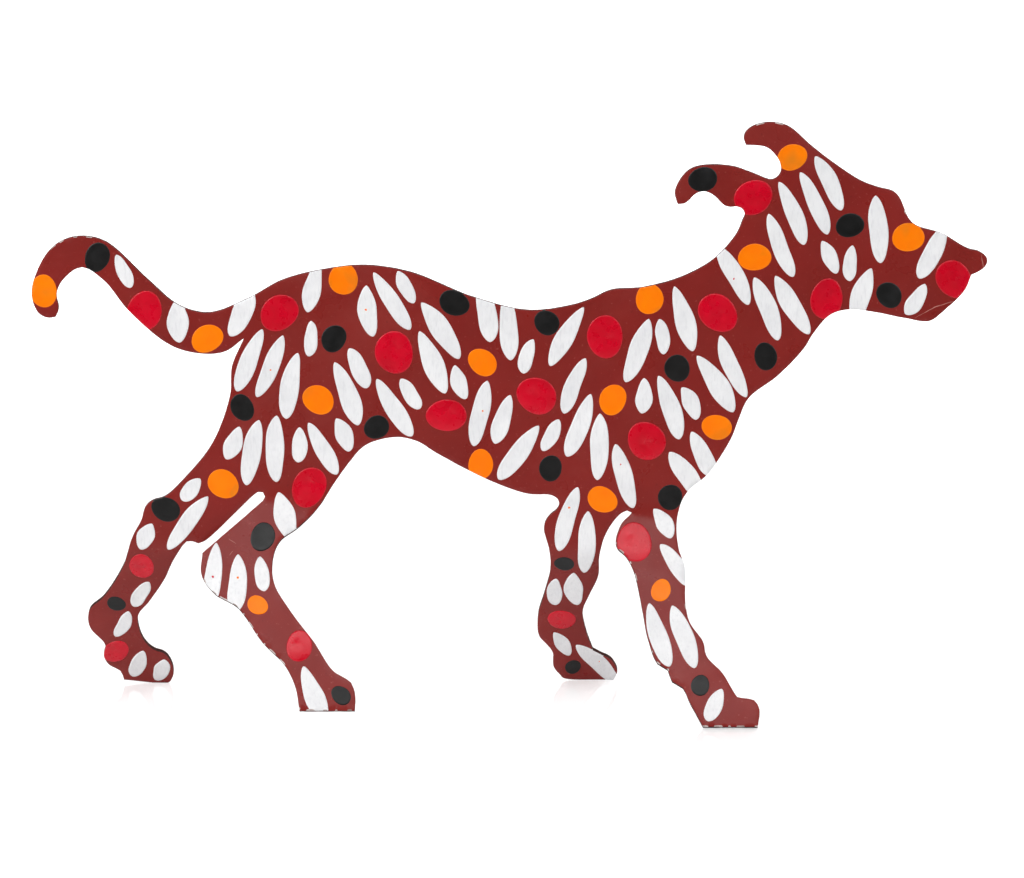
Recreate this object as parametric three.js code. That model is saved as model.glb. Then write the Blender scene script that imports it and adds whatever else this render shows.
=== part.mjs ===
// A standing dog, cut as one flat silhouette from a sheet of steel. Slots part the legs, and
// each leg is folded out of the sheet so that the dog stands by itself.
//
// The outline below is the flat cut: x runs along the dog, with the nose at +x, and z is the
// height that the cut would have above the floor if its legs were not folded. Millimetres.
// After folding, X runs along the dog, Y through the sheet and Z up. The painted face looks
// towards -Y. The near legs lean to -Y and the far legs to +Y.

import * as THREE from 'three';
import { mergeVertices } from 'three/addons/utils/BufferGeometryUtils.js';

const SHEET = 3; // thickness of the steel
const CUT_STEP = 3.2; // longest straight step along a curved cut
const FOLD_STRIPS = 4; // flat strips that make up each rounded fold
const SNAP = 0.3; // a point this near to the edge of a strip counts as on it

// Each leg has the height of its fold, its lean out of the sheet in degrees, the side it
// leans to, and how far its sole stays off the floor at the heel and at the toe. The fold
// runs from the slot to the outer edge, at the two values of x in `ends`, and it is rounded
// over `reach` above and below its height, at those same two ends.
const LEGS = {
  nearHind: { fold: 105, lean: 27, side: -1, heel: 7, toe: 7, ends: [-124, -97], reach: [3, 13] },
  nearFront: { fold: 97, lean: 29.5, side: -1, heel: 0, toe: 0, ends: [59, 83], reach: [2, 9] },
  farHind: { fold: 80.5, lean: 24.3, side: 1, heel: 1.6, toe: 0, ends: [-163, -192], reach: [2, 4] },
  farFront: { fold: 77, lean: 28.5, side: 1, heel: 1, toe: 0, ends: [45, 19], reach: [3, 4] },
};

// A line that parts each pair of legs: from the slot's closed end down the middle of the slot
// to its mouth, and then on between the legs to below their feet.
const PARTINGS = {
  hind: [[-125, 107], [-158, 79], [-150, -20]],
  front: [[60, 98.4], [53.2, 92.8], [48, 80], [76, -20]],
};
const BETWEEN_PAIRS = -50; // x that parts the hind pair of legs from the front pair

const radians = THREE.MathUtils.degToRad;

// Flat height of a sole's edge that ends `gap` above the floor once its leg is folded.
function soleLevel(leg, gap) {
  const lean = radians(leg.lean);
  const drop = leg.fold - gap - (SHEET / 2) * Math.sin(lean);
  return leg.fold - drop / Math.cos(lean);
}

const heelLevel = (leg) => soleLevel(leg, leg.heel);
const toeLevel = (leg) => soleLevel(leg, leg.toe);

// The cut, clockwise from the tip of the tail. It is a smooth curve through these points,
// broken only at the points that are marked as corners.
const CORNER = true;

const tail = [
  [-227, 197.3, CORNER], [-231.5, 197], [-236, 200], [-238.7, 209], [-236, 220], [-229, 231.5],
  [-221, 236.6], [-212, 238], [-201, 235], [-180, 215.5], [-166, 203.5], [-151, 199.5],
];

const back = [
  [-132, 206.3], [-114, 216], [-95, 221], [-73, 223.4], [-50, 219.8], [-20, 207.6], [8, 200.7],
  [30, 203.4], [40, 206.7], [49, 210.9], [65, 212.3], [84, 217.5], [100, 226.5], [111, 239],
];

const nearEar = [
  [115.2, 249, CORNER], [113, 252.5], [106, 252.9], [99, 259], [94, 260.4], [90, 258.5],
  [86, 254.6], [82, 254, CORNER], [80.5, 259.5], [83.5, 267], [89, 272], [98, 273.7],
  [110, 272.7], [120, 269.2], [128.5, 266.3], [132.6, 269.5],
];

const farEar = [
  [132, 275.5], [126, 282.2], [119, 283.4], [115.5, 283.5, CORNER], [114.3, 288], [118, 292.5],
  [127, 294.8], [136, 293],
];

const brow = [
  [148, 283], [157, 276], [172, 266], [180, 262.8], [190, 259.5], [198.5, 244.5], [213, 239.3],
];

const nose = [
  [226, 231.8], [232, 230.2], [236, 226], [233.5, 221.5], [228, 218.5, CORNER],
];

const jawAndThroat = [
  [225, 211], [214, 199.8], [207.5, 195.2], [196, 196.6], [180, 199.8], [167, 201], [158, 198.2],
];

const chest = [
  [150, 189], [145.5, 181.5], [133, 168], [118, 156], [113.5, 146], [109.5, 135.5], [98, 117.3],
  [88.5, 109],
];

const nearFrontLeg = [
  [84.5, 101.5], [82.5, 90], [83.5, 78], [86.3, 69], [86.5, 50], [88.5, 40], [95, 30],
  [96.7, 22.5], [104.3, 14], [110, 4, CORNER], [111.5, 1.7], [115, 1], [120, 0], [122.5, -5],
  [121.5, toeLevel(LEGS.nearFront), CORNER], [94.5, heelLevel(LEGS.nearFront), CORNER],
  [88, -1], [84.5, 6.5], [79.5, 9.5], [77, 16], [72.5, 18.5], [67.5, 32], [65, 46], [61, 66],
  [57, 74.3], [53, 78.2],
];

const frontSlot = [
  [51.9, 82], [55, 91.5], [60, 96.8], [59.4, 98.6], [56, 98], [51.5, 93.8], [46.5, 85],
];

const farFrontLeg = [
  [44, 75], [43.6, 62], [39, 48.5], [36, 38], [38, 23], [41.5, 10.7, CORNER], [46, 7.5],
  [50.5, 4.5], [54.2, -4], [52.3, toeLevel(LEGS.farFront), CORNER],
  [26.5, heelLevel(LEGS.farFront), CORNER], [21.5, -1], [20.8, 9.5], [17.5, 15.3], [13.8, 21],
  [13.3, 35], [16.5, 50], [19.3, 65], [18.8, 78], [16, 90], [18.5, 95.9], [23, 100],
  [23.6, 103.5],
];

const belly = [
  [20, 106.5], [8, 107.3], [-12, 114.5], [-38, 128.3], [-47, 134], [-58, 136.3], [-73, 132.3],
  [-81, 124], [-90, 111],
];

const nearHindLeg = [
  [-97, 100], [-107, 89.5], [-116, 82.5], [-119.3, 74], [-118.7, 61], [-109.3, 45], [-98.3, 30.5],
  [-89.2, 16.5], [-82, 11.8, CORNER], [-80.2, 10.8], [-77.7, 4],
  [-77.8, toeLevel(LEGS.nearHind), CORNER], [-105.3, heelLevel(LEGS.nearHind), CORNER],
  [-107.5, 8], [-113, 19], [-124, 30.5], [-136.7, 48.2], [-148.5, 55.5], [-155, 65],
];

const hindSlot = [
  [-154.8, 76.2, CORNER], [-125, 103.2, CORNER], [-123.8, 106.5], [-126, 108.6],
  [-129.5, 106.6, CORNER], [-152, 84.7, CORNER],
];

const farHindLeg = [
  [-157, 81.8], [-163, 83], [-170, 73], [-175.5, 60], [-184, 45.5], [-190, 36.5], [-188.5, 22],
  [-183.5, 14.5], [-177.5, 11.5], [-174, 4], [-174, -3],
  [-176.5, toeLevel(LEGS.farHind), CORNER], [-199.3, heelLevel(LEGS.farHind), CORNER],
  [-201, 0.5], [-206.5, 4.5], [-209, 10.5], [-207.8, 17.5], [-215, 29], [-214.5, 40],
  [-206.8, 48.5], [-196, 68], [-191, 84.5], [-186, 94], [-184.3, 100],
];

const rump = [
  [-181, 103.6], [-174, 106], [-165, 114.3], [-150, 133], [-140.7, 158], [-139.7, 172],
];

const tailUnder = [
  [-133.5, 186.5, CORNER], [-143, 179.8], [-155, 178.8], [-170, 183], [-190, 199.8],
  [-203, 216], [-213.5, 222.3], [-222.5, 216.5], [-226.3, 209], [-225.3, 201.5],
];

const OUTLINE = [
  ...tail, ...back, ...nearEar, ...farEar, ...brow, ...nose, ...jawAndThroat, ...chest,
  ...nearFrontLeg, ...frontSlot, ...farFrontLeg, ...belly, ...nearHindLeg, ...hindSlot,
  ...farHindLeg, ...rump, ...tailUnder,
];

// Points along the smooth curve from one corner to the next, without the last corner.
function smoothRun(points) {
  const knots = points.map(([x, z]) => new THREE.Vector3(x, z, 0));
  if (knots.length === 2) return [knots[0]];
  const curve = new THREE.CatmullRomCurve3(knots, false, 'centripetal');
  const steps = Math.ceil(curve.getLength() / CUT_STEP);
  return curve.getSpacedPoints(steps).slice(0, -1);
}

// The outline as a shape, cut into runs at its corners. Its first point is a corner.
function outlineShape() {
  const points = [...OUTLINE, OUTLINE[0]];
  const corners = points.flatMap((point, i) => (point[2] === CORNER ? [i] : []));
  const runs = corners.slice(1).map((end, i) => points.slice(corners[i], end + 1));
  return new THREE.Shape(runs.flatMap(smoothRun).map((p) => new THREE.Vector2(p.x, p.y)));
}

// The flat sheet as a closed mesh: a list of points [x, y, z] and a list of triangles.
function flatSheet() {
  const geometry = new THREE.ExtrudeGeometry(outlineShape(), { depth: SHEET, bevelEnabled: false });
  geometry.translate(0, 0, -SHEET / 2).rotateX(Math.PI / 2);
  geometry.deleteAttribute('normal').deleteAttribute('uv');
  const { attributes: { position }, index } = mergeVertices(geometry);
  const points = [];
  for (let i = 0; i < position.count; i += 1) {
    points.push([position.getX(i), position.getY(i), position.getZ(i)]);
  }
  const triangles = [];
  for (let i = 0; i < index.count; i += 3) {
    triangles.push([index.getX(i), index.getX(i + 1), index.getX(i + 2)]);
  }
  return { points, triangles };
}

// How far the rounding of a leg's fold reaches above and below the fold, at this x.
function foldReach(leg, x) {
  const [slotEnd, outerEnd] = leg.ends;
  const along = THREE.MathUtils.clamp((x - slotEnd) / (outerEnd - slotEnd), -0.2, 1.2);
  return THREE.MathUtils.lerp(leg.reach[0], leg.reach[1], along);
}

// The x of a parting at this height.
function partingX(line, z) {
  const below = line.findIndex(([, height]) => height <= z);
  const next = below < 0 ? line.length - 1 : Math.max(below, 1);
  const [high, low] = [line[next - 1], line[next]];
  const down = THREE.MathUtils.clamp((high[1] - z) / (high[1] - low[1]), 0, 1);
  return THREE.MathUtils.lerp(high[0], low[0], down);
}

// The leg at or below this place of the flat sheet.
function legAt(x, z) {
  if (x < BETWEEN_PAIRS) return x > partingX(PARTINGS.hind, z) ? LEGS.nearHind : LEGS.farHind;
  return x > partingX(PARTINGS.front, z) ? LEGS.nearFront : LEGS.farFront;
}

// Splits every triangle that the line heightOf(x, z) = 0 crosses between two values of x.
function score({ points, triangles }, heightOf, [from, to]) {
  const heights = points.map(([x, , z]) => {
    const height = heightOf(x, z);
    return Math.abs(height) < SNAP ? 0 : height;
  });
  const added = new Map();
  const crossing = (a, b) => {
    if (heights[a] * heights[b] >= 0) return null;
    const key = a < b ? `${a} ${b}` : `${b} ${a}`;
    if (!added.has(key)) {
      const [low, high] = a < b ? [a, b] : [b, a];
      const share = heights[low] / (heights[low] - heights[high]);
      const point = points[low].map((v, i) => THREE.MathUtils.lerp(v, points[high][i], share));
      const inside = point[0] >= from && point[0] <= to;
      added.set(key, inside ? points.push(point) - 1 : null);
    }
    return added.get(key);
  };
  const split = triangles.flatMap((triangle) => {
    const ring = triangle.flatMap((corner, i) => {
      const cut = crossing(corner, triangle[(i + 1) % 3]);
      return cut === null ? [corner] : [corner, cut];
    });
    // A ring of three to five points becomes a fan around its first added point.
    const first = Math.max(0, ring.findIndex((p) => !triangle.includes(p)));
    const fan = [...ring.slice(first), ...ring.slice(0, first)];
    return fan.slice(2).map((p, i) => [fan[0], fan[i + 1], p]);
  });
  return { points, triangles: split };
}

// Scores a leg's fold along the edges of the flat strips that will round it.
function scoreFold(sheet, leg) {
  const margin = 12;
  const range = [Math.min(...leg.ends) - margin, Math.max(...leg.ends) + margin];
  let scored = sheet;
  for (let strip = 0; strip <= FOLD_STRIPS; strip += 1) {
    const level = 1 - (2 * strip) / FOLD_STRIPS;
    const height = (x, z) => (legAt(x, z) === leg ? z - leg.fold - level * foldReach(leg, x) : 1);
    scored = score(scored, height, range);
  }
  return scored;
}

// Where a point of the flat sheet goes when the legs are folded.
function fold([x, y, z]) {
  const leg = legAt(x, z);
  const reach = foldReach(leg, x);
  const top = leg.fold + reach;
  if (z >= top) return [x, y, z];
  const lean = radians(leg.lean);
  const turn = Math.min(1, (top - z) / (2 * reach)) * lean;
  const radius = reach / Math.tan(lean / 2);
  const straight = Math.max(0, leg.fold - reach - z);
  const out = radius * (1 - Math.cos(turn)) + straight * Math.sin(turn);
  const down = radius * Math.sin(turn) + straight * Math.cos(turn);
  return [x, y * Math.cos(turn) + leg.side * out, top - down + leg.side * y * Math.sin(turn)];
}

function foldedDog() {
  const { points, triangles } = Object.values(LEGS).reduce(scoreFold, flatSheet());
  const geometry = new THREE.BufferGeometry();
  geometry.setAttribute('position', new THREE.Float32BufferAttribute(points.flatMap(fold), 3));
  geometry.setIndex(triangles.flat());
  geometry.computeVertexNormals();
  return geometry;
}

const paint = new THREE.MeshStandardMaterial({ color: 0x7f2825, roughness: 0.45, metalness: 0 });
const dog = new THREE.Mesh(foldedDog(), paint);
dog.name = 'dog_plate';

// The origin is on the floor, below the middle of the dog's box.
const box = new THREE.Box3().setFromBufferAttribute(dog.geometry.getAttribute('position'));
const middle = box.getCenter(new THREE.Vector3());
dog.position.set(-middle.x, -middle.y, -box.min.z);

const sculpture = new THREE.Group();
sculpture.add(dog);

export default sculpture;
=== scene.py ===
"""Dresses the folded steel dog: its paint, its cut edges, its wear, and a pale studio.

The CAD solid gives the cut. Its outline is unfolded, the paint is laid out on the flat sheet,
the sheet is meshed there, and every point is folded again by the law that bent the solid.
Until a mesh is made, lengths are millimetres on the flat sheet: x along the dog, y through the
sheet from its middle, z up, with the same zero of x and z as the flat cut. Meshes are in metres.
"""

import math

import bmesh
import bpy
import numpy as np
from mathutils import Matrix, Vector, kdtree, noise
from mathutils.geometry import delaunay_2d_cdt


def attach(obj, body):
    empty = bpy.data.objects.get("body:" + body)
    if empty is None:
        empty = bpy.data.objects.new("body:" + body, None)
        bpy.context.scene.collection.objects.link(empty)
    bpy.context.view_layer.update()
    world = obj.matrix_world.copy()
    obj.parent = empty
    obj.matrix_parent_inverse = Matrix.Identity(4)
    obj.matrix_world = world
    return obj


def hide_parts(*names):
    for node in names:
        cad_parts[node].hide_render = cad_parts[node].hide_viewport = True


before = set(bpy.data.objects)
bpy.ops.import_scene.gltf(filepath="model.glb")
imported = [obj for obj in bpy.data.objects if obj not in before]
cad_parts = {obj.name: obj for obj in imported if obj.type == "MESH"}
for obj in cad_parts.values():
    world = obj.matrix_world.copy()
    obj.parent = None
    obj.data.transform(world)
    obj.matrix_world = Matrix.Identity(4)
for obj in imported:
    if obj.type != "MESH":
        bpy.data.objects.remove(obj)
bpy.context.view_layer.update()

MM = 0.001
NODE = "dog_plate"
SHEET = 3.0  # thickness of the steel
TAIL_END = -238.68  # x of the tail's outermost point on the flat cut
ARRIS = 0.35  # rounding of the cut's edges
OUTLINE_STEP = 1.0  # spacing of the points along the cut
GROUND_STEP = 2.4  # spacing of the points inside the bare ground


# ---------------------------------------------------------------- folding

# For each leg: its fold's height, its lean in degrees, the side it leans to, the x of the
# fold's two ends, at the slot and at the outer edge, and how far the fold is rounded there.
LEGS = (
    dict(fold=105, lean=27, side=-1, ends=(-124, -97), reach=(3, 13)),  # near hind
    dict(fold=97, lean=29.5, side=-1, ends=(59, 83), reach=(2, 9)),  # near front
    dict(fold=80.5, lean=24.3, side=1, ends=(-163, -192), reach=(2, 4)),  # far hind
    dict(fold=77, lean=28.5, side=1, ends=(45, 19), reach=(3, 4)),  # far front
)
FOLD, SIDE = (np.array([float(leg[key]) for leg in LEGS]) for key in ("fold", "side"))
LEAN = np.radians([leg["lean"] for leg in LEGS])
ENDS, REACH = (np.array([leg[key] for leg in LEGS], float) for key in ("ends", "reach"))

# The lines that part each pair of legs: heights, and x at those heights.
HIND_PARTING = ((-20, 79, 107), (-150, -158, -125))
FRONT_PARTING = ((-20, 80, 92.8, 98.4), (76, 48, 53.2, 60))
BETWEEN_PAIRS = -50


def leg_at(x, z):
    """Number in LEGS of the leg at or below each place."""
    hind = np.where(x > np.interp(z, *HIND_PARTING), 0, 2)
    front = np.where(x > np.interp(z, *FRONT_PARTING), 1, 3)
    return np.where(x < BETWEEN_PAIRS, hind, front)


def fold_shape(x, z):
    """Lean, side, reach, top and radius of the fold that each place belongs to."""
    leg = leg_at(x, z)
    slot_end, outer_end = ENDS[leg].T
    along = np.clip((x - slot_end) / (outer_end - slot_end), -0.2, 1.2)
    reach = REACH[leg, 0] + (REACH[leg, 1] - REACH[leg, 0]) * along
    return LEAN[leg], SIDE[leg], reach, FOLD[leg] + reach, reach / np.tan(LEAN[leg] / 2)


def folded(points):
    """Where points [x, y, z] of the flat sheet go when the legs are folded."""
    x, y, z = points.T
    lean, side, reach, top, radius = fold_shape(x, z)
    turn = np.clip((top - z) / (2 * reach), 0, 1) * lean
    straight = np.maximum(0, top - 2 * reach - z)
    out = radius * (1 - np.cos(turn)) + straight * np.sin(turn)
    down = radius * np.sin(turn) + straight * np.cos(turn)
    bent_y = y * np.cos(turn) + side * out
    bent_z = top - down + side * y * np.sin(turn)
    bent = np.stack([x, bent_y, bent_z], 1)
    return np.where((z < top)[:, None], bent, points)


def unfolded(points):
    """The flat place of points of the folded dog: the inverse of folded()."""
    x, y, z = points.T
    lean, side, reach, top, radius = fold_shape(x, z)
    turn = np.arctan2(top - z, radius - side * y)
    bend_y = side * (radius - np.hypot(radius - side * y, top - z))
    bend_z = top - turn / lean * 2 * reach
    off_y = y - side * radius * (1 - np.cos(lean))
    off_z = z - (top - radius * np.sin(lean))
    leg_y = off_y * np.cos(lean) + side * off_z * np.sin(lean)
    leg_z = top - 2 * reach - (side * off_y * np.sin(lean) - off_z * np.cos(lean))
    on_bend = (turn < lean)[:, None]
    flat = np.where(on_bend, np.stack([x, bend_y, bend_z], 1), np.stack([x, leg_y, leg_z], 1))
    return np.where((z < top)[:, None], flat, points)


# ---------------------------------------------------------------- the cut's outline

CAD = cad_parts[NODE].data
CAD_POINTS = np.array([v.co for v in CAD.vertices]) / MM
ABOVE_FOLDS = 130.0  # height above which the sheet stands upright
BODY_Y = CAD_POINTS[CAD_POINTS[:, 2] > ABOVE_FOLDS, 1]
ROW_SHIFT = np.array([CAD_POINTS[:, 0].min() - TAIL_END, (BODY_Y.min() + BODY_Y.max()) / 2, 0])


def solid_outline():
    """The corners of the solid's painted face on the flat sheet, in order, anticlockwise."""
    weld, tolerance = 0.05 * MM, 0.1
    bm = bmesh.new()
    bm.from_mesh(CAD)
    bmesh.ops.remove_doubles(bm, verts=bm.verts, dist=weld)
    bmesh.ops.dissolve_degenerate(bm, edges=bm.edges, dist=weld)
    bm.verts.index_update()
    points = np.array([v.co for v in bm.verts]) / MM - ROW_SHIFT
    flat = unfolded(points)
    off = np.abs(flat[:, 1]).max() - SHEET / 2
    if off > tolerance:
        raise ValueError(f"the solid isn't folded by the law in this script: {off:.2f} mm off")
    front = flat[:, 1] < tolerance - SHEET / 2
    after = {}
    for face in bm.faces:
        corners = [v.index for v in face.verts]
        if not front[corners].all():
            continue
        for loop in face.loops:
            partner = loop.link_loop_radial_next.face
            if not front[[v.index for v in partner.verts]].all():
                after[loop.vert.index] = loop.link_loop_next.vert.index
    bm.free()
    ring = [next(iter(after))]
    while after[ring[-1]] != ring[0] and len(ring) <= len(after):
        ring.append(after[ring[-1]])
    if len(ring) != len(after):
        raise ValueError(f"the painted face has an outline of {len(ring)} of {len(after)} edges")
    return flat[ring][:, [0, 2]]


def thinned(ring, least):
    """The ring without points nearer than `least` to the one kept before."""
    kept = [ring[0]]
    for point in ring[1:]:
        if np.hypot(*(point - kept[-1])) >= least:
            kept.append(point)
    if np.hypot(*(kept[-1] - kept[0])) < least:
        kept.pop()
    return np.array(kept)


def turns(ring):
    """The angle in degrees by which a closed ring turns at each point."""
    step = np.roll(ring, -1, 0) - ring
    heading = np.unwrap(np.arctan2(step[:, 1], step[:, 0]))
    turn = heading - np.roll(heading, 1)
    return np.degrees((turn + math.pi) % (2 * math.pi) - math.pi)


def is_corner(ring):
    """True where the ring turns much more sharply than on either side of that point."""
    likely, certain, much_sharper = 28, 60, 1.5
    turn = np.abs(turns(ring))
    beside = np.maximum(np.roll(turn, 1), np.roll(turn, -1))
    return (turn > likely) & (turn > much_sharper * beside) | (turn > certain)


def spline_between(before, start, end, after, steps):
    """Points on a centripetal Catmull-Rom curve from start up to, but without, end."""
    knots = np.cumsum([0] + [math.sqrt(math.dist(a, b)) or 1e-6
                             for a, b in ((before, start), (start, end), (end, after))])
    t = np.linspace(knots[1], knots[2], steps, endpoint=False)[:, None]
    points = [before, start, end, after]

    def blend(low, high, i, j):
        return (knots[j] - t) / (knots[j] - knots[i]) * low + (t - knots[i]) / (knots[j] - knots[i]) * high

    first = [blend(points[i], points[i + 1], i, i + 1) for i in range(3)]
    second = [blend(first[i], first[i + 1], i, i + 2) for i in range(2)]
    return blend(second[0], second[1], 1, 2)


def smooth_outline(ring, step):
    """The ring as a dense smooth curve that keeps its corners."""
    corner = is_corner(ring)
    count = len(ring)
    parts = []
    for i in range(count):
        start, end = ring[i], ring[(i + 1) % count]
        before = 2 * start - end if corner[i] else ring[i - 1]
        after = 2 * end - start if corner[(i + 1) % count] else ring[(i + 2) % count]
        steps = max(1, round(math.dist(start, end) / step))
        parts.append(spline_between(before, start, end, after, steps))
    return np.concatenate(parts)


def inward(ring):
    """Unit vectors that point into an anticlockwise ring, one for each point."""
    along = np.roll(ring, -1, 0) - np.roll(ring, 1, 0)
    across = np.stack([-along[:, 1], along[:, 0]], 1)
    return across / np.linalg.norm(across, axis=1, keepdims=True)


LEAST_STEP = 0.8  # corners of the solid nearer than this are taken as one
OUTLINE = smooth_outline(thinned(solid_outline(), LEAST_STEP), OUTLINE_STEP)
FACE_RING = OUTLINE + ARRIS * inward(OUTLINE)  # where the flat face meets the rounded arris


# ---------------------------------------------------------------- room on the flat sheet

CELL = 1.0  # size of a cell of the grid that the marks are placed on
GRID_MARGIN = 6
GRID_LOW = OUTLINE.min(0) - GRID_MARGIN
GRID_SHAPE = tuple(np.ceil((OUTLINE.max(0) + GRID_MARGIN - GRID_LOW) / CELL).astype(int))
CELL_X, CELL_Z = np.meshgrid(*(GRID_LOW[i] + CELL * np.arange(GRID_SHAPE[i]) for i in (0, 1)),
                             indexing="ij")
UNTOUCHED = 99.0  # room in a cell that no mark is near


def inside(ring, points):
    """Whether each point is inside the ring."""
    x, z = points.T
    result = np.zeros(len(points), bool)
    for (ax, az), (bx, bz) in zip(ring, np.roll(ring, -1, 0)):
        if az == bz:
            continue
        spans = (az > z) != (bz > z)
        result ^= spans & (x < ax + (z - az) / (bz - az) * (bx - ax))
    return result


def nearest_distances(points, targets):
    """The distance from each point to the nearest target."""
    tree = kdtree.KDTree(len(targets))
    for i, (x, z) in enumerate(targets):
        tree.insert((x, z, 0), i)
    tree.balance()
    return np.array([tree.find((x, z, 0))[2] for x, z in points])


def edge_room():
    """For each cell, how far it is inside the outline; negative outside."""
    cells = np.stack([CELL_X.ravel(), CELL_Z.ravel()], 1)
    distance = nearest_distances(cells, OUTLINE)
    return np.where(inside(OUTLINE, cells), distance, -distance).reshape(GRID_SHAPE)


def cell_of(x, z):
    i = np.clip(np.rint((x - GRID_LOW[0]) / CELL).astype(int), 0, GRID_SHAPE[0] - 1)
    j = np.clip(np.rint((z - GRID_LOW[1]) / CELL).astype(int), 0, GRID_SHAPE[1] - 1)
    return i, j


EDGE_ROOM = edge_room()


# ---------------------------------------------------------------- marks of paint

# A mark is a closed line on the flat sheet, with the paint it is made of.
DAB_WAVE = 165.0  # length of the slow wave in which the dabs lean, along the dog
DAB_SWING = 30.0  # degrees that they lean to either side of upright
DAB_WIDTHS = (8.2, 10.0)
DAB_LENGTHS = (34.0, 30.0, 26.0, 22.0, 18.0, 14.5)
LONG_LENGTHS = DAB_LENGTHS[:4]
SHORT_DAB, SHORT_WIDTH = 20.0, 0.84  # below this length a dab's width is scaled by this
DAB_STRAY = 9.0  # degrees by which a dab may stray from the wave
DAB_BEND = 1.3  # the most that a dab's middle bows to one side
DAB_REACH = 9.0  # a dab is drawn to marks and edges within this distance
DAB_CHOICE = 1.2  # how far chance outweighs the snuggest place
DABS_AT_A_TIME = 4
DAB_JOINTS = np.array([0.04, 0.14, 0.26, 0.4, 0.54, 0.68, 0.82, 0.95])  # where circles stand in for a dab


def dab_direction(x, z):
    """The lean of a dab at this place, in radians from +x."""
    return np.radians(90 + DAB_SWING * np.sin(2 * math.pi * (x - 0.4 * z) / DAB_WAVE))


def dab_half_width(share, width):
    """Half the width of a dab at a share of its length: a grain, widest just before its middle."""
    across = np.abs(2 * np.clip(share, 0, 1) ** 0.88 - 1)
    return 0.5 * width * np.maximum(1 - across ** 2.1, 0) ** 0.66


def dab_spine(dab, share):
    """The middle line of a dab: points and the unit vectors across it."""
    length, bend = dab["length"], dab["bend"]
    along = (share - 0.5) * length
    across = bend * (1 - (2 * share - 1) ** 2)
    slope = -bend * 4 * (2 * share - 1) / length
    c, s = math.cos(dab["angle"]), math.sin(dab["angle"])
    points = np.stack([dab["x"] + along * c - across * s, dab["z"] + along * s + across * c], -1)
    normals = np.stack([-s - slope * c, c - slope * s], -1)
    return points, normals / np.linalg.norm(normals, axis=-1, keepdims=True)


def dab_loop(dab, inset=0.0, step=0.95):
    """The outline of a dab, anticlockwise, drawn in by `inset`."""
    trim = inset / dab["length"] * 1.25
    count = max(8, round(dab["length"] / step))
    share = trim + (1 - 2 * trim) * (1 - np.cos(np.linspace(0, math.pi, count))) / 2
    points, normals = dab_spine(dab, share)
    half = dab_half_width(share, dab["width"]) * (1 + 0.07 * np.sin(share * 5 + dab["seed"]))
    waver = 0.03 * dab["width"] * np.sin(math.pi * share)
    left = half + waver * np.sin(share * 8 + 2 * dab["seed"]) - inset
    right = half + waver * np.sin(share * 8 + 3 * dab["seed"]) - inset
    left, right = (np.maximum(side, 0)[:, None] for side in (left, right))
    return np.concatenate([(points - normals * right)[:-1], (points + normals * left)[:0:-1]])


def pebble_loop(pebble, inset=0.0, step=0.9):
    """The outline of an oval spot, anticlockwise, drawn in by `inset`."""
    count = max(12, round(2 * math.pi * pebble["radius"] / step))
    turn = np.linspace(0, 2 * math.pi, count, endpoint=False)
    wobble = 1 + 0.02 * np.sin(2 * turn + pebble["seed"]) + 0.018 * np.sin(3 * turn + 3 * pebble["seed"])
    stretch = math.sqrt(pebble["aspect"])
    long = (pebble["radius"] * stretch * wobble - inset) * np.cos(turn)
    short = (pebble["radius"] / stretch * wobble - inset) * np.sin(turn)
    c, s = math.cos(pebble["angle"]), math.sin(pebble["angle"])
    return np.stack([pebble["x"] + long * c - short * s, pebble["z"] + long * s + short * c], 1)


SPOT_WOBBLE = 1.04  # the furthest that a spot goes past its radius
SPOT_TRIES = 400
SCRATCH_ROOM = 10.0  # spots stay this far from the scratches
SPOT_RADII = {"red": (9.0, 10.2), "orange": (6.9, 7.6), "black": (6.1, 7.0)}
LEG_TOP = 78.0
LEG_SCALE = 0.72  # spots on the legs are smaller


def place_spots(counts, spacing, least_room, rng):
    """Oval spots spread evenly over the sheet, with like colours kept apart."""
    scratched = room_left(np.full(GRID_SHAPE, UNTOUCHED), [(x, z, SCRATCH_ROOM) for line in SCRATCHES
                                                           for x, z in along_line(line, 2)])
    places = GRID_LOW + CELL * np.argwhere((EDGE_ROOM > least_room) & (scratched > 0))
    chosen = [places[rng.integers(len(places))]]
    while len(chosen) < sum(counts.values()):
        tries = places[rng.integers(len(places), size=SPOT_TRIES)]
        away = np.linalg.norm(tries[:, None] - np.array(chosen)[None], axis=2).min(1)
        if away.max() < spacing:
            break
        chosen.append(tries[away.argmax()])
    chosen = np.array(chosen)
    colours = spread_colours(chosen, counts, rng)
    spots = []
    for (x, z), colour in zip(chosen, colours):
        radius = rng.uniform(*SPOT_RADII[colour]) * (LEG_SCALE if z < LEG_TOP else 1)
        spots.append(dict(paint=colour, x=x, z=z, radius=radius, aspect=rng.uniform(1.1, 1.28),
                          angle=rng.uniform(0, math.pi), seed=rng.uniform(0, 6)))
    return spots


def spread_colours(places, counts, rng):
    """A colour for each place, swapped in pairs until like colours lie far apart."""
    colours = np.array([c for c, n in counts.items() for _ in range(n)][: len(places)])
    colours = colours[rng.permutation(len(colours))]
    distance = np.linalg.norm(places[:, None] - places[None], axis=2) + 1e9 * np.eye(len(places))
    crowding = 1 / distance ** 3

    def crowded(i, colour):
        return crowding[i, colours == colour].sum()

    swaps = 6000
    for a, b in rng.integers(len(places), size=(swaps, 2)):
        before = crowded(a, colours[a]) + crowded(b, colours[b])
        colours[a], colours[b] = colours[b], colours[a]
        if crowded(a, colours[a]) + crowded(b, colours[b]) > before:
            colours[a], colours[b] = colours[b], colours[a]
    return [str(colour) for colour in colours]


def room_left(room, circles):
    """The room that is left when circles [x, z, radius] are taken."""
    for x, z, radius in circles:
        room = np.minimum(room, np.hypot(CELL_X - x, CELL_Z - z) - radius)
    return room


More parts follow.
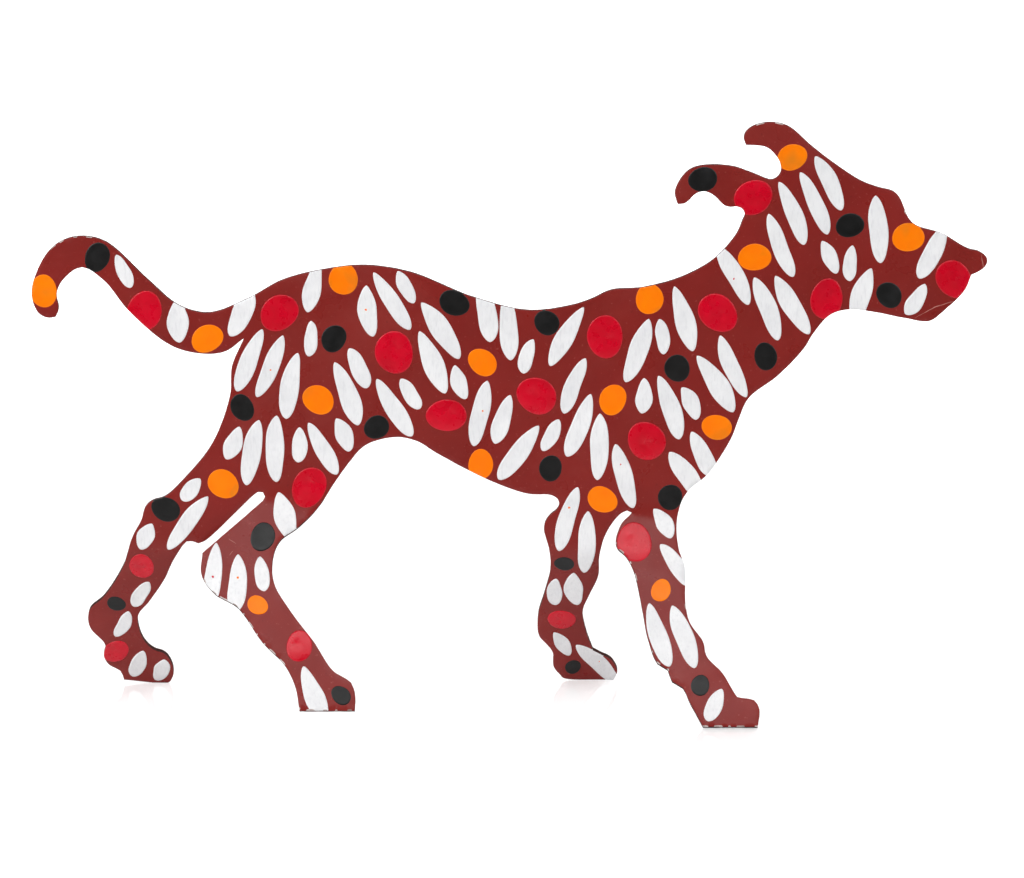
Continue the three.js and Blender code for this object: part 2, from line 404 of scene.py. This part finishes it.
def dab_circles(x, z, angle, length, width):
    """Circles that stand in for dabs: arrays of x, z and radius, one column for each joint."""
    along = (DAB_JOINTS - 0.5) * length
    radius = dab_half_width(DAB_JOINTS, width)
    cx = x[:, None] + np.cos(angle)[:, None] * along
    cz = z[:, None] + np.sin(angle)[:, None] * along
    return cx, cz, np.broadcast_to(radius, cx.shape)


def place_dabs(spots, gap, most, over_edge, edge_gap, rng):
    """White dabs that lean in a slow wave and lie side by side between the spots."""
    taken = np.full(GRID_SHAPE, UNTOUCHED)
    taken = room_left(taken, [(s["x"], s["z"], s["radius"] * SPOT_WOBBLE) for s in spots])
    taken = room_left(taken, [(x, z, 0.5) for line in SCRATCHES for x, z in along_line(line, 2)])
    places = GRID_LOW + CELL * np.argwhere(EDGE_ROOM > 0.5)
    places = places[rng.permutation(len(places))[: len(places) // 3]]
    dabs = []

    def fill(length, count, crossing=False):
        nonlocal taken
        width = rng.uniform(*DAB_WIDTHS) * (SHORT_WIDTH if length < SHORT_DAB else 1)
        x, z = places.T
        angle = dab_direction(x, z) + np.radians(rng.uniform(-DAB_STRAY, DAB_STRAY, len(x)))
        cx, cz, radius = dab_circles(x, z, angle, length, width)
        cells = cell_of(cx, cz)
        edge = EDGE_ROOM[cells] - radius
        fits = crosses_edge(edge) if crossing else edge.min(1) > edge_gap
        live = np.flatnonzero(fits)
        for _ in range(count):
            if len(live) == 0:
                return
            near = taken[cells[0][live], cells[1][live]] - radius[live]
            free = near.min(1) > gap
            live, near = live[free], near[free]
            if len(live) == 0:
                return
            to_marks = np.minimum(near, DAB_REACH).mean(1)
            to_edge = np.minimum(np.abs(edge[live]), DAB_REACH).mean(1)
            snug = to_marks + 0.5 * to_edge
            pick = live[(snug + rng.uniform(0, DAB_CHOICE, len(live))).argmin()]
            dab = dict(paint="white", x=x[pick], z=z[pick], angle=angle[pick], length=length,
                       width=width, bend=rng.uniform(-DAB_BEND, DAB_BEND), seed=rng.uniform(0, 6))
            dabs.append(dab)
            taken = room_left(taken, zip(cx[pick], cz[pick], radius[pick]))

    for _ in range(over_edge):
        fill(rng.choice(LONG_LENGTHS), 1, crossing=True)
    for length in DAB_LENGTHS:
        while len(dabs) < most:
            before = len(dabs)
            fill(length, DABS_AT_A_TIME)
            if len(dabs) == before:
                break
    return dabs


def crosses_edge(edge):
    """Whether one end of a dab runs off the sheet while the rest is well inside."""
    beyond, within, joints_off = 3, 0.8, 4
    outer = np.minimum(edge[:, 0], edge[:, -1])
    return (outer < -beyond) & (np.sort(edge, axis=1)[:, joints_off] > within)


# ---------------------------------------------------------------- wear

# Scratches and chips on the painted side, each along a line of places [x, z] on the flat sheet.
SCRATCH_WIDTH = 0.42
SPECKS = 9
SPECK_CORNERS = 8
SCRATCHES = (
    [(200.4, 196.9), (210.3, 202.4), (222.1, 206.2)],  # under the jaw
    [(232.6, 229.1), (234.2, 220.5)],  # nose
    [(-141.3, 74.8), (-139.4, 77.3)],  # near thigh
    [(-142, 83.5), (-137.9, 80.9)],
)
CHIPPED_EDGES = (  # only the two ends of each stretch of the cut
    ((-230.5, 230.1), (-207.5, 237.6)),  # tail
    ((123.3, 294), (134.6, 294.5)),  # far ear
    ((-153.1, 63.5), (-133.9, 49.6)),  # near hind knee
    ((-132.9, 46.6), (-110.1, 18.1)),  # near hind shin
    ((-103.9, -2), (-78.7, -2)),  # near hind sole
    ((52.6, 81.8), (63.9, 60)),  # near front leg
    ((70.1, 25.9), (78.9, 15.6)),
    ((87.8, 52.2), (88.7, 46)),
    ((94.5, -12), (121.2, -12)),  # near front sole
    ((192, 251.1), (193.6, 248.1)),  # brow
)


def along_line(line, step):
    """Points every `step` or so along a broken line."""
    line = np.array(line, float)
    lengths = np.concatenate([[0], np.cumsum(np.linalg.norm(np.diff(line, axis=0), axis=1))])
    at = np.linspace(0, lengths[-1], max(2, round(lengths[-1] / step) + 1))
    return np.stack([np.interp(at, lengths, line[:, i]) for i in (0, 1)], 1)


def scratch_loop(line, width, rng):
    """A thin closed line round a scratch, anticlockwise."""
    points = along_line(line, 1.1)
    along = np.gradient(points, axis=0)
    across = np.stack([-along[:, 1], along[:, 0]], 1)
    across /= np.linalg.norm(across, axis=1, keepdims=True)
    share = np.linspace(0, 1, len(points))
    half = 0.5 * width * np.sin(math.pi * (0.04 + 0.92 * share)) * rng.uniform(0.6, 1.2, len(points))
    half = half[:, None]
    points = points + across * rng.uniform(-0.08, 0.08, (len(points), 1))
    return np.concatenate([points - across * half, (points + across * half)[::-1]])


def speck_loop(x, z, radius, rng):
    """A small uneven closed line, anticlockwise."""
    turn = np.linspace(0, 2 * math.pi, SPECK_CORNERS, endpoint=False)
    size = radius * rng.uniform(0.6, 1.15, SPECK_CORNERS)
    return np.stack([x + size * np.cos(turn), z + size * np.sin(turn)], 1)


def edge_chip_loop(start, count, depth, rng):
    """A thin closed line round a chip that runs along the cut's edge and over it."""
    at = np.arange(start, start + count) % len(OUTLINE)
    share = np.linspace(0, 1, count)
    bite = ARRIS + depth * np.sin(math.pi * share) ** 0.6 * rng.uniform(0.45, 1.1, count)
    bite[[0, -1]] = 0.2
    into = inward(OUTLINE)[at]
    return np.concatenate([OUTLINE[at] - 0.5 * into, (OUTLINE[at] + bite[:, None] * into)[::-1]])


def wear_marks(rng):
    """Scratches, and a run of chips with gaps between them along each chipped edge."""
    marks = []
    for line in SCRATCHES:
        marks.append(dict(paint="scratch", loop=scratch_loop(line, SCRATCH_WIDTH, rng)))
    for ends in CHIPPED_EDGES:
        first, last = (np.linalg.norm(OUTLINE - end, axis=1).argmin() for end in ends)
        span = (last - first) % len(OUTLINE)
        if span > len(OUTLINE) / 2:
            first, span = last, len(OUTLINE) - span
        at = first
        while at < first + span:
            count = int(rng.integers(3, 7))
            depth = rng.uniform(0.1, 0.5)
            marks.append(dict(paint="bare", loop=edge_chip_loop(at, count, depth, rng)))
            at += count + int(rng.integers(0, 4))
    return marks


def specks(dabs, rng):
    """Tiny splashes of the other colours on some dabs."""
    marks = []
    for dab in rng.choice(dabs, SPECKS, replace=False):
        points, normals = dab_spine(dab, np.array([rng.uniform(0.3, 0.7)]))
        x, z = points[0] + normals[0] * rng.uniform(-1.6, 1.6)
        paint = "orange" if rng.random() < 0.6 else "red"
        marks.append(dict(paint=paint, thin=True, loop=speck_loop(x, z, rng.uniform(0.35, 0.75), rng)))
    return marks


# ---------------------------------------------------------------- the sheet's mesh

PAINTS = ("ground", "white", "red", "orange", "black", "bare", "scratch", "cut", "back_ground")
SLOT = {name: i for i, name in enumerate(PAINTS)}
EDGE_OF_PAINT = 0.45  # width of the sloping edge of a layer of paint
THIN_LAYER = 0.05  # of a speck
LAYER = {"white": 0.2, "red": 0.3, "orange": 0.12, "black": 0.14, "bare": -0.05, "scratch": -0.05}
BEAD = {"white": 0.1, "orange": 0.05, "black": 0.04}  # paint that gathered along the edge
BEAD_PLACE, BEAD_WIDTH = 0.6, 0.35
CROWN = {"red": 0.4}  # further height in the middle of a spot
DIMPLE = {"red": 0.4}  # depth of the brush's twist in it
DIMPLE_PLACE, DIMPLE_SPREAD = 0.22, 0.3  # shares of the spot's radius
TWIST_ARMS, TWIST_DEPTH = 3, 0.4
SHAPING_RINGS = (0.15, 0.35, 0.6, 1.05)  # how far inside a mark's edge its points lie


def mark_loop(mark, inset=0.0):
    """The outline of any mark, anticlockwise; only dabs and spots can be drawn in."""
    if "loop" in mark:
        return mark["loop"]
    return dab_loop(mark, inset) if "length" in mark else pebble_loop(mark, inset)


def inner_points(mark):
    """Points inside a mark that shape its raised edge and its middle."""
    if "loop" in mark:
        return np.empty((0, 2))
    rings = [mark_loop(mark, inset) for inset in SHAPING_RINGS]
    if mark["paint"] == "red":
        rings += [mark_loop(mark, inset)[::2] for inset in np.arange(2, mark["radius"] * 0.8, 1.1)]
        rings.append(np.array([[mark["x"], mark["z"]]]))
    return np.concatenate(rings)


def segment_distances(points, loop):
    """The distance from each point to the nearest side of a closed loop."""
    start, side = loop, np.roll(loop, -1, 0) - loop
    reach = points[:, None] - start[None]
    share = (reach * side).sum(2) / np.maximum((side ** 2).sum(1), 1e-9)
    away = reach - np.clip(share, 0, 1)[..., None] * side
    return np.hypot(away[..., 0], away[..., 1]).min(1)


def layer_height(mark, points):
    """How far the paint of a mark stands off the sheet at points inside it."""
    paint = mark["paint"]
    depth = segment_distances(points, mark_loop(mark))
    rise = np.sin(np.clip(depth / EDGE_OF_PAINT, 0, 1) * math.pi / 2)
    height = (THIN_LAYER if mark.get("thin") else LAYER[paint]) * rise
    if "loop" not in mark:
        height += BEAD.get(paint, 0) * np.exp(-((depth - BEAD_PLACE) / BEAD_WIDTH) ** 2) * rise
    if paint in CROWN and "radius" in mark:
        share = np.clip(depth / (mark["radius"] * 0.85), 0, 1)
        height += CROWN[paint] * (1 - (1 - share) ** 2)
        off = points - (mark["x"] + DIMPLE_PLACE * mark["radius"] * math.cos(mark["seed"]),
                        mark["z"] + DIMPLE_PLACE * mark["radius"] * math.sin(mark["seed"]))
        spread = DIMPLE_SPREAD * mark["radius"]
        turn = np.arctan2(off[:, 1], off[:, 0])
        calm = 1 - np.exp(-(off ** 2).sum(1) / 4)
        arms = np.sin(TWIST_ARMS * turn + 0.5 * np.hypot(*off.T) + mark["seed"])
        twist = 1 + TWIST_DEPTH * calm * arms
        height -= DIMPLE[paint] * twist * np.exp(-(off ** 2).sum(1) / spread ** 2) * rise
    return height


def hex_grid(step):
    """Points spread evenly over the outline's bounds, in rows set off by half a step."""
    low, high = OUTLINE.min(0), OUTLINE.max(0)
    rows = np.arange(low[1], high[1], step * math.sqrt(3) / 2)
    parts = []
    for i, z in enumerate(rows):
        xs = np.arange(low[0] + (i % 2) * step / 2, high[0], step)
        parts.append(np.stack([xs, np.full(len(xs), z)], 1))
    return np.concatenate(parts)


def painted_face(ring, marks):
    """Triangles over the ring and its marks: points, triangles, the paint and height of each."""
    loops = [ring] + [mark_loop(mark) for mark in marks]
    lines = np.concatenate(loops)
    inner = np.concatenate([inner_points(mark) for mark in marks] + [np.empty((0, 2))])
    grid = hex_grid(GROUND_STEP)
    clear = nearest_distances(grid, np.concatenate([lines, inner])) > 0.45 * GROUND_STEP
    points = np.concatenate([lines, inner, grid[clear & (EDGE_ROOM[cell_of(*grid.T)] > 1)]])
    starts = np.cumsum([0] + [len(loop) for loop in loops])
    faces = [list(range(a, b)) for a, b in zip(starts, starts[1:])]
    found = delaunay_2d_cdt([Vector(p) for p in points], [], faces, 0, 1e-4, True)
    corners, triangles, owners = found[0], found[2], found[5]
    kept = [i for i, owner in enumerate(owners) if 0 in owner]
    flat = np.array([(p.x, p.y) for p in corners])
    triangles = np.array([triangles[i] for i in kept])
    owners = [frozenset(owners[i]) for i in kept]
    around = {}
    for triangle, owner in zip(triangles.tolist(), owners):
        for corner in triangle:
            around[corner] = around[corner] & owner if corner in around else owner
    under = {}
    for corner, owner in around.items():
        for number in owner - {0}:
            under.setdefault(number, []).append(corner)
    height = np.zeros(len(flat))
    for number, members in sorted(under.items()):
        height[members] += layer_height(marks[number - 1], flat[members])
    top = np.array([max(owner) for owner in owners])
    used, triangles = np.unique(triangles, return_inverse=True)
    return flat[used], triangles.reshape(-1, 3), top, height[used]


def boundary_loop(triangles):
    """The corners round the outside of a set of triangles, in order, and each side's triangle."""
    sides = {}
    for number, (a, b, c) in enumerate(triangles.tolist()):
        for side in ((a, b), (b, c), (c, a)):
            sides[side] = number
    after = {a: b for a, b in sides if (b, a) not in sides}
    ring = [next(iter(after))]
    while after[ring[-1]] != ring[0] and len(ring) <= len(after):
        ring.append(after[ring[-1]])
    if len(ring) != len(after):
        raise ValueError(f"the meshed face has an outline of {len(ring)} of {len(after)} edges")
    return ring, [sides[a, after[a]] for a in ring]


def matching_outline(points):
    """For points on FACE_RING, the points of OUTLINE at the same place along it."""
    side = np.roll(FACE_RING, -1, 0) - FACE_RING
    result = []
    for point in points:
        reach = point - FACE_RING
        share = np.clip((reach * side).sum(1) / (side ** 2).sum(1), 0, 1)
        i = np.hypot(*(reach - share[:, None] * side).T).argmin()
        result.append(OUTLINE[i] + share[i] * (OUTLINE[(i + 1) % len(OUTLINE)] - OUTLINE[i]))
    return np.array(result)


def cut_roughness(points, y):
    """How far the rough cut stands in or out, at these places and this depth in the sheet."""
    values = []
    for x, z in points:
        coarse = noise.noise((x * 0.22, y * 0.35, z * 0.22))
        fine = noise.noise((x * 1.1, y * 0.6, z * 1.1 + 40))
        values.append(0.1 * coarse + 0.06 * fine)
    return np.array(values)


def dog_mesh(front_marks, back_marks):
    """The whole dog as one closed mesh, folded, with a paint for every face."""
    flat, triangles, top, height = painted_face(FACE_RING, front_marks)
    points = [np.stack([flat[:, 0], -SHEET / 2 - height, flat[:, 1]], 1)]
    paint_of = [SLOT["ground"]] + [SLOT[mark["paint"]] for mark in front_marks]
    faces = triangles.tolist()
    paints = [paint_of[number] for number in top]
    loop, beside = boundary_loop(triangles)
    loop_paints = [paints[number] for number in beside]

    rim_inner = flat[loop]
    rim_outer = matching_outline(rim_inner)
    in_from_cut = rim_inner - rim_outer
    half = SHEET / 2
    eighth = 1 - math.sqrt(0.5)
    rows = [(eighth, -half + eighth * ARRIS), (0, -half + ARRIS), (0, -0.5), (0, 0.5), (0, half - ARRIS),
            (eighth, half - eighth * ARRIS), (1, half)]
    # the middle rows, on the cut edge, take its darkened red, which is painted shade on faces turned from
    # the light
    paints_of_row = [None, None] + [SLOT["cut"]] * 3 + [SLOT["back_ground"]] * 2
    last = np.array(loop)
    count = len(flat)
    for (share, y), row_paint in zip(rows, paints_of_row):
        place = rim_outer + share * in_from_cut
        if abs(y) < half - 0.01 and share == 0:
            unit = in_from_cut / np.linalg.norm(in_from_cut, axis=1, keepdims=True)
            place = place + unit * np.maximum(cut_roughness(place, y), -0.02)[:, None]
        points.append(np.stack([place[:, 0], np.full(len(place), y), place[:, 1]], 1))
        row = np.arange(count, count + len(place))
        count += len(place)
        for i in range(len(loop)):
            j = (i + 1) % len(loop)
            faces.append([int(last[i]), int(row[i]), int(row[j]), int(last[j])])
            paints.append(loop_paints[i] if row_paint is None else row_paint)
        last = row
    back_ring = rim_inner
    flat, triangles, top, height = painted_face(back_ring, back_marks)
    back_loop, _ = boundary_loop(triangles)
    if len(back_loop) != len(last):
        raise ValueError(f"the back has {len(back_loop)} points round it, not {len(last)}")
    start = np.linalg.norm(flat[back_loop] - back_ring[0], axis=1).argmin()
    number = np.arange(len(flat)) + count
    for i, corner in enumerate(np.roll(back_loop, -start)):
        number[corner] = last[i]
    points.append(np.stack([flat[:, 0], half + height, flat[:, 1]], 1))
    paint_of = [SLOT["back_ground"]] + [SLOT[mark["paint"]] for mark in back_marks]
    for triangle, mark in zip(triangles, top):
        faces.append([int(number[corner]) for corner in triangle[::-1]])
        paints.append(paint_of[mark])
    return np.concatenate(points), faces, paints


def dog_object(points, faces, paints, materials):
    """The folded mesh in the part's frame, smooth except where one paint meets another."""
    mesh = bpy.data.meshes.new("painted_dog_plate")
    standing = folded(points) + ROW_SHIFT
    standing[:, 2] = np.maximum(standing[:, 2], 0)
    mesh.from_pydata([tuple(p) for p in standing * MM], [], faces)
    for name in PAINTS:
        mesh.materials.append(materials[name])
    mesh.polygons.foreach_set("material_index", paints)
    mesh.polygons.foreach_set("use_smooth", [True] * len(faces))
    bm = bmesh.new()
    bm.from_mesh(mesh)
    bmesh.ops.delete(bm, geom=[v for v in bm.verts if not v.link_faces], context="VERTS")
    for edge in bm.edges:
        a, b = (face.material_index for face in edge.link_faces)
        edge.smooth = a == b
    bm.to_mesh(mesh)
    bm.free()
    dog = bpy.data.objects.new("painted_dog_plate", mesh)
    bpy.context.scene.collection.objects.link(dog)
    return dog


# ---------------------------------------------------------------- materials

def linear(red, green, blue):
    """A screen colour, 0 to 255, as the linear colour that a shader takes."""
    return tuple((v / 255 / 12.92) if v <= 10 else ((v / 255 + 0.055) / 1.055) ** 2.4
                 for v in (red, green, blue)) + (1.0,)


class Shader:
    """A principled material, with short helpers for the nodes that feed it."""

    def __init__(self, name, **values):
        self.material = bpy.data.materials.new(name)
        self.material.use_nodes = True
        self.tree = self.material.node_tree
        self.bsdf = self.tree.nodes["Principled BSDF"]
        for key, value in values.items():
            self.bsdf.inputs[key.replace("_", " ").title().replace("Ior", "IOR")].default_value = value
        self.place = self.tree.nodes.new("ShaderNodeTexCoord").outputs["Object"]

    def node(self, kind, links=None, **settings):
        made = self.tree.nodes.new(kind)
        for key, value in settings.items():
            setattr(made, key, value)
        for key, value in (links or {}).items():
            if isinstance(value, bpy.types.NodeSocket):
                self.tree.links.new(value, made.inputs[key])
            else:
                made.inputs[key].default_value = value
        return made

    def noise(self, scale, detail=3.0, roughness=0.5, distortion=0.0):
        made = self.node("ShaderNodeTexNoise", {"Vector": self.place, "Scale": scale, "Detail": detail,
                                                "Roughness": roughness, "Distortion": distortion})
        return made.outputs["Fac"]

    def spread(self, value, low, high, to_low=0.0, to_high=1.0):
        return self.node("ShaderNodeMapRange", {"Value": value, "From Min": low, "From Max": high,
                                                "To Min": to_low, "To Max": to_high}).outputs["Result"]

    def mix(self, factor, a, b):
        made = self.node("ShaderNodeMix", data_type="RGBA")
        for index, value in ((0, factor), (6, a), (7, b)):
            if isinstance(value, bpy.types.NodeSocket):
                self.tree.links.new(value, made.inputs[index])
            else:
                made.inputs[index].default_value = value
        return made.outputs[2]

    def bump(self, height, strength, distance):
        return self.node("ShaderNodeBump", {"Height": height, "Strength": strength,
                                            "Distance": distance}).outputs["Normal"]

    def feed(self, key, socket):
        self.tree.links.new(socket, self.bsdf.inputs[key])


def brushed_paint(name, light, dark, roughness, specular, blotch):
    """Brushed paint: two close tones in soft blotches, uneven gloss, and a fine grain."""
    shader = Shader(name, roughness=roughness, specular_ior_level=specular)
    soft = shader.spread(shader.noise(blotch, 5, 0.65), 0.35, 0.65)
    colour = shader.mix(soft, dark, light)
    gloss = shader.noise(blotch * 3, 3)
    shader.feed("Roughness", shader.spread(gloss, 0.3, 0.7, roughness - 0.07, roughness + 0.07))
    shader.feed("Base Color", colour)
    shader.feed("Normal", shader.bump(shader.noise(700, 4, 0.65), 0.5, 0.00008))
    return shader, colour


def ground_paint(name, light, dark, dust, specular):
    """The oxide red: blotched, with a fine pale dust, darker pinholes and faint rubbed patches."""
    shader, colour = brushed_paint(name, light, dark, 0.32, specular, 22)
    rubbed = shader.spread(shader.noise(9, 6, 0.7, 0.4), 0.52, 0.8, 0, 0.22)
    colour = shader.mix(rubbed, colour, dust)
    specks = shader.spread(shader.noise(620, 2, 0.5), 0.66, 0.74, 0, 0.3)
    colour = shader.mix(specks, colour, dust)
    pinholes = shader.spread(shader.noise(480, 2, 0.5), 0.3, 0.22, 0, 0.35)
    colour = shader.mix(pinholes, colour, linear(92, 28, 26))
    shader.feed("Base Color", colour)
    return shader.material


def white_paint():
    """Thick white: faint grey streaks where the brush dragged it."""
    light, dark, streaked = linear(241, 241, 242), linear(230, 230, 232), linear(206, 206, 210)
    shader, colour = brushed_paint("white_dabs", light, dark, 0.4, 0.3, 60)
    turned = shader.node("ShaderNodeMapping", {"Vector": shader.place, "Rotation": (0, 0.5, 0),
                                               "Scale": (1, 1, 0.22)}).outputs["Vector"]
    streak = shader.node("ShaderNodeTexNoise", {"Vector": turned, "Scale": 900, "Detail": 4.0,
                                                "Roughness": 0.6}).outputs["Fac"]
    colour = shader.mix(shader.spread(streak, 0.5, 0.72, 0, 0.35), colour, streaked)
    shader.feed("Base Color", colour)
    shader.feed("Normal", shader.bump(streak, 0.6, 0.00012))
    return shader.material


def spot_paint(name, light, dark, stain, roughness, specular):
    """A spot's paint, with a small soft stain of another tone here and there."""
    shader, colour = brushed_paint(name, light, dark, roughness, specular, 70)
    stained = shader.spread(shader.noise(75, 2, 0.4, 0.3), 0.58, 0.8, 0, 0.6)
    shader.feed("Base Color", shader.mix(stained, colour, stain))
    swirl = shader.noise(260, 3, 0.5, 2.5)
    shader.feed("Normal", shader.bump(swirl, 0.5, 0.00015))
    return shader.material


def rough_steel(name, light, dark, roughness, specular):
    """Bare steel, scratched paint or the painted cut edge: broken tones and a coarse surface."""
    shader, _ = brushed_paint(name, light, dark, roughness, specular, 160)
    shader.feed("Normal", shader.bump(shader.noise(350, 5, 0.7), 0.8, 0.0002))
    return shader.material


def make_materials():
    """Each paint's material. The last two numbers of each are its roughness and its gloss."""
    return {
        "ground": ground_paint("oxide_red_paint", linear(134, 38, 34), linear(124, 35, 31),
                               linear(176, 96, 88), 0.25),
        "back_ground": ground_paint("oxide_red_back", linear(130, 40, 36), linear(114, 35, 32),
                                    linear(160, 88, 80), 0.25),
        "white": white_paint(),
        "red": spot_paint("red_spots", linear(208, 0, 36), linear(192, 0, 28),
                          linear(176, 2, 30), 0.3, 0.4),
        "orange": spot_paint("orange_spots", linear(255, 130, 0), linear(255, 120, 0),
                             linear(196, 124, 36), 0.36, 0.2),
        "black": spot_paint("black_spots", linear(26, 25, 25), linear(19, 19, 19),
                            linear(40, 40, 41), 0.36, 0.3),
        "bare": rough_steel("bare_steel", linear(226, 214, 210), linear(150, 128, 122), 0.45, 0.4),
        "scratch": rough_steel("scratched_paint", linear(190, 128, 118), linear(160, 92, 84), 0.5, 0.3),
        # The cut edge: the red paint over the cut, made darker as painted shade for the edge faces, with
        # rough tones of the cut.
        "cut": rough_steel("cut_edge_painted_shade", linear(74, 26, 22), linear(44, 18, 16), 0.7, 0.12),
    }


# ---------------------------------------------------------------- camera, floor and light

CAMERA_ELEVATION = 11.7
CAMERA_DISTANCE = 2.25
CAMERA_TARGET_HEIGHT = 0.1354
LENS, SENSOR = 158.2, 36.0


def make_camera():
    """Looks down a little at the painted side, from straight in front of the dog's middle."""
    data = bpy.data.cameras.new("camera")
    data.lens, data.sensor_width = LENS, SENSOR
    camera = bpy.data.objects.new("camera", data)
    tilt = math.radians(CAMERA_ELEVATION)
    target = Vector((ROW_SHIFT[0] * MM, (ROW_SHIFT[1] - SHEET / 2) * MM, CAMERA_TARGET_HEIGHT))
    camera.location = target + CAMERA_DISTANCE * Vector((0, -math.cos(tilt), math.sin(tilt)))
    camera.rotation_euler = (math.pi / 2 - tilt, 0, 0)
    bpy.context.scene.collection.objects.link(camera)
    bpy.context.scene.camera = camera


def make_floor():
    """A white gloss sheet. It ends a little in front of the dog, so that the dog's paint, which
    mirrors what lies low in front of it, stays deep."""
    (left, front), (right, back) = (-6.0, -0.38), (6.0, 6.0)
    corners = [(left, front, 0), (right, front, 0), (right, back, 0), (left, back, 0)]
    mesh = bpy.data.meshes.new("floor")
    mesh.from_pydata(corners, [], [(0, 1, 2, 3)])
    floor = bpy.data.objects.new("floor", mesh)
    bpy.context.scene.collection.objects.link(floor)
    shader = Shader("floor_white", base_color=(0.8, 0.8, 0.8, 1), roughness=0.03,
                    emission_color=(1, 1, 1, 1))
    seen = shader.node("ShaderNodeLightPath").outputs["Is Camera Ray"]
    away = shader.node("ShaderNodeVectorMath", {0: shader.place}, operation="LENGTH").outputs["Value"]
    glow = shader.spread(away, 0.45, 1.3, 0.36, 1.0)  # more where the lights don't reach
    shader.feed("Emission Strength", shader.spread(seen, 0, 1, 0, glow))
    mesh.materials.append(shader.material)


def make_softbox(name, azimuth, elevation, distance, width, height, power):
    """An area light aimed at the dog. Azimuth 0 is in front of its painted side, 90 beyond its nose."""
    data = bpy.data.lights.new(name, "AREA")
    data.shape, data.size, data.size_y, data.energy = "RECTANGLE", width, height, power
    light = bpy.data.objects.new(name, data)
    a, e = math.radians(azimuth), math.radians(elevation)
    away = Vector((math.sin(a) * math.cos(e), -math.cos(a) * math.cos(e), math.sin(e)))
    light.location = Vector((0, 0, 0.14)) + distance * away
    light.rotation_euler = (-away).to_track_quat("-Z", "Y").to_euler()
    bpy.context.scene.collection.objects.link(light)


def make_world():
    """White where the camera sees it. What lights the dog is bright behind it and dim in front."""
    world = bpy.data.worlds.new("studio")
    world.use_nodes = True
    tree = world.node_tree
    tree.nodes.clear()
    new, link = tree.nodes.new, tree.links.new
    output, choose = new("ShaderNodeOutputWorld"), new("ShaderNodeMixShader")
    path = new("ShaderNodeLightPath")
    seen, lit = new("ShaderNodeBackground"), new("ShaderNodeBackground")
    seen.inputs["Color"].default_value = lit.inputs["Color"].default_value = (1, 1, 1, 1)
    direction, axes = new("ShaderNodeTexCoord"), new("ShaderNodeSeparateXYZ")
    strength = new("ShaderNodeMapRange")
    for key, value in (("From Min", -0.25), ("From Max", 0.45), ("To Min", 0.06), ("To Max", 1.0)):
        strength.inputs[key].default_value = value
    link(direction.outputs["Generated"], axes.inputs[0])
    link(axes.outputs["Y"], strength.inputs["Value"])
    link(strength.outputs["Result"], lit.inputs["Strength"])
    link(path.outputs["Is Camera Ray"], choose.inputs[0])
    link(lit.outputs[0], choose.inputs[1])
    link(seen.outputs[0], choose.inputs[2])
    link(choose.outputs[0], output.inputs[0])
    bpy.context.scene.world = world


def make_lights():
    """Large soft lights: two in front, one above them, and two behind for the plain side."""
    make_softbox("key", -48, 24, 1.7, 1.1, 1.1, 16)
    make_softbox("fill", 48, 18, 1.8, 1.0, 1.0, 9)
    make_softbox("overhead", 0, 48, 1.7, 1.3, 0.8, 11)
    make_softbox("back_left", 150, 30, 1.8, 1.0, 1.0, 8)
    make_softbox("back_right", 215, 30, 1.8, 1.0, 1.0, 8)


# ---------------------------------------------------------------- the scene

make_camera()
make_floor()
make_world()
make_lights()
bpy.context.scene.view_settings.view_transform = "Standard"

rng = np.random.default_rng(7)
front_spots = place_spots({"red": 17, "orange": 16, "black": 20}, spacing=17, least_room=5.5, rng=rng)
front_dabs = place_dabs(front_spots, gap=1.7, most=125, over_edge=16, edge_gap=0.9, rng=rng)
front = front_dabs + front_spots + specks(front_dabs, rng) + wear_marks(rng)
back_spots = place_spots({"red": 5, "orange": 5, "black": 5}, spacing=30, least_room=15, rng=rng)
back = place_dabs(back_spots, gap=8, most=40, over_edge=0, edge_gap=5, rng=rng) + back_spots
points, faces, paints = dog_mesh(front, back)
dog = dog_object(points, faces, paints, make_materials())
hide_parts(NODE)
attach(dog, "root")
